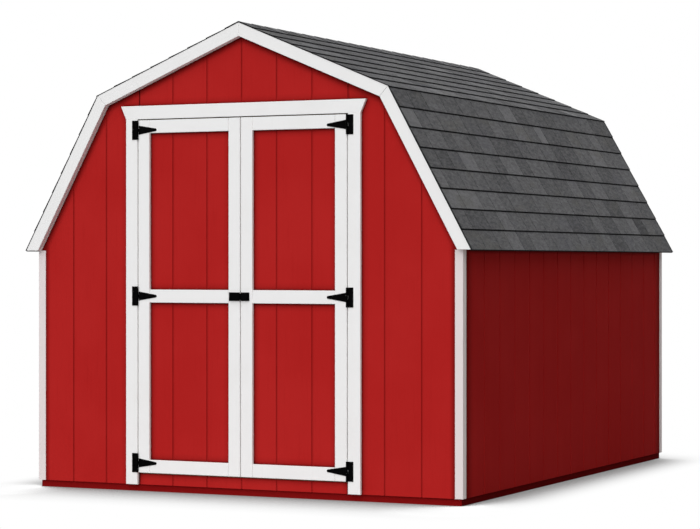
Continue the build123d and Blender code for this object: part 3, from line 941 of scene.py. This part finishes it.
def cornerCutoff(tree, split):
    # The shadow tapers off round the front corners, because more shelter is cut off there
    across = calculate(tree, "SUBTRACT", calculate(tree, "ABSOLUTE", split[0]), stage["corner"][0])
    along = calculate(tree, "SUBTRACT", split[1], stage["corner"][1])
    onLeft = calculate(tree, "LESS_THAN", split[0], 0.0)
    leftRear = calculate(tree, "MULTIPLY", onLeft, calculate(tree, "GREATER_THAN", along, 0.0))
    across = inFades(tree, across, stage["cornerFade"][0], stage["leftFade"][0], onLeft)
    along = inFades(tree, along, stage["cornerFade"][1], stage["leftFade"][1], leftRear)
    offset = addNode(tree, "ShaderNodeCombineXYZ", {0: across, 1: along}).outputs[0]
    fromCorner = addNode(tree, "ShaderNodeVectorMath", {0: offset}, operation="LENGTH").outputs["Value"]
    nearCorner = calculate(tree, "SUBTRACT", 1.0, fromCorner, clamp=True)
    return calculate(tree, "MAXIMUM", calculate(tree, "POWER", nearCorner, stage["taper"]), stage["cutoff"])


def groundShade(tree):
    # How dark the ground is where the barn shelters it
    sockets = {"Distance": stage["shadowReach"]}
    shelter = addNode(tree, "ShaderNodeAmbientOcclusion", sockets, samples=stage["shelterSamples"])
    closed = calculate(tree, "SUBTRACT", 1.0, shelter.outputs["AO"])
    closed = calculate(tree, "MULTIPLY", closed, stage["shelterGain"])
    split = splitPlace(tree, objectPlace(tree))
    cutoff = cornerCutoff(tree, split)
    kept = calculate(tree, "SUBTRACT", closed, cutoff)
    share = calculate(tree, "DIVIDE", kept, calculate(tree, "SUBTRACT", 1.0, cutoff), clamp=True)
    beside = stretch(tree, calculate(tree, "ABSOLUTE", split[0]), *stage["sideFade"], 1.0, 0.0)
    behind = stretch(tree, split[1], *stage["rearFade"], 1.0, 0.0)
    depth = calculate(tree, "MULTIPLY", share, stage["shadowDepth"])
    return calculate(tree, "MULTIPLY", calculate(tree, "MULTIPLY", depth, beside), behind)


def buildFloor():
    # White where it is open, darker where the barn shelters it
    bm = bmesh.new()
    bmesh.ops.create_grid(bm, x_segments=1, y_segments=1, size=stage["floorSize"] / 2)
    mesh = bpy.data.meshes.new("floor")
    bm.to_mesh(mesh)
    bm.free()
    floor = bpy.data.objects.new("floor", mesh)
    bpy.context.scene.collection.objects.link(floor)
    material = bpy.data.materials.new("paleFloor")
    material.use_nodes = True
    tree = material.node_tree
    tree.nodes.clear()
    bounce = addNode(tree, "ShaderNodeBsdfDiffuse", {"Color": (*[stage["bounce"]] * 3, 1)})
    shaded = addNode(tree, "ShaderNodeBsdfDiffuse", {"Color": (*[stage["shadowTone"]] * 3, 1)})
    white = addNode(tree, "ShaderNodeEmission", {"Strength": 1.0})
    sockets = {0: groundShade(tree), 1: white.outputs[0], 2: shaded.outputs[0]}
    shown = addNode(tree, "ShaderNodeMixShader", sockets)
    sockets = {0: seenDirectly(tree), 1: bounce.outputs[0], 2: shown.outputs[0]}
    whole = addNode(tree, "ShaderNodeMixShader", sockets)
    addNode(tree, "ShaderNodeOutputMaterial", {"Surface": whole.outputs[0]})
    mesh.materials.append(material)


def buildWorld():
    world = bpy.data.worlds.new("softWhite")
    bpy.context.scene.world = world
    world.use_nodes = True
    tree = world.node_tree
    tree.nodes.clear()
    lighting = addNode(tree, "ShaderNodeBackground", {"Color": (1, 1, 1, 1), "Strength": stage["ambient"]})
    backdrop = addNode(tree, "ShaderNodeBackground", {"Color": (1, 1, 1, 1), "Strength": 1.0})
    sockets = {0: seenDirectly(tree), 1: lighting.outputs[0], 2: backdrop.outputs[0]}
    whole = addNode(tree, "ShaderNodeMixShader", sockets)
    addNode(tree, "ShaderNodeOutputWorld", {"Surface": whole.outputs[0]})


def buildSun():
    data = bpy.data.lights.new("softSun", "SUN")
    data.energy = stage["sunStrength"]
    data.angle = math.radians(stage["sunSpread"])
    sun = bpy.data.objects.new("softSun", data)
    sun.rotation_mode = "QUATERNION"
    sun.rotation_quaternion = Vector(stage["sunFrom"]).to_track_quat("Z", "Y")
    bpy.context.scene.collection.objects.link(sun)


photoView = {
    "place": (5.700, -11.786, 1.199),
    "turn": 24.46,
    "lens": 117.33,
    "sensor": 36.0,
    "shift": (-0.1071, -0.0032),
    "clip": (0.1, 200.0),
}


def buildCamera():
    data = bpy.data.cameras.new("photoView")
    data.sensor_width = photoView["sensor"]
    data.lens = photoView["lens"]
    data.shift_x, data.shift_y = photoView["shift"]
    data.clip_start, data.clip_end = photoView["clip"]
    camera = bpy.data.objects.new("photoView", data)
    camera.location = photoView["place"]
    camera.rotation_euler = (math.radians(90), 0, math.radians(photoView["turn"]))
    bpy.context.scene.collection.objects.link(camera)
    bpy.context.scene.camera = camera


buildFloor()
buildWorld()
buildSun()
buildCamera()
bpy.context.scene.view_settings.view_transform = "Standard"
print("floor, light and camera set")
